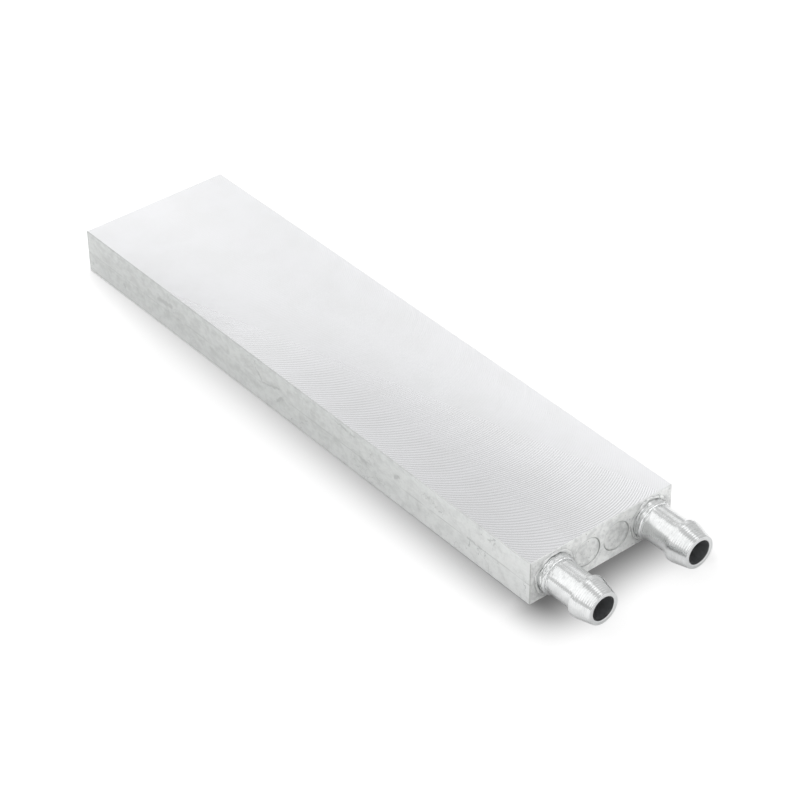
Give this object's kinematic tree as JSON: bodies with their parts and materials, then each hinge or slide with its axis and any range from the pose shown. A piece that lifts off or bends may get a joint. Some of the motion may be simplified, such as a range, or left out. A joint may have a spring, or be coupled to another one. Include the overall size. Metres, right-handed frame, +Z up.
{
  "type": "liquid cooling cold plate",
  "caption": "Flat rectangular aluminium cold plate with internal coolant channels, flush end plugs and barbed hose fittings side by side on one end face.",
  "frame": {"origin": "centre of the bar's underside", "axes": "+X along the bar towards the hose barbs, +Z up through the cooling face, +Y across the bar"},
  "size_m": [0.175, 0.04, 0.0112],
  "materials": {
    "faced_bar": "extruded mill finish on the sides, fly-cut on both broad faces",
    "turned_barb": "bright turned",
    "pressed_plug": "matt, pressed and peened flush"
  },
  "bodies": {
    "root": {"channel_block": "faced_bar", "inlet_barb": "turned_barb", "outlet_barb": "turned_barb", "front_plug_left": "pressed_plug", "front_plug_right": "pressed_plug", "rear_plug_1": "pressed_plug", "rear_plug_2": "pressed_plug", "rear_plug_3": "pressed_plug", "rear_plug_4": "pressed_plug"}
  },
  "joints": []
}
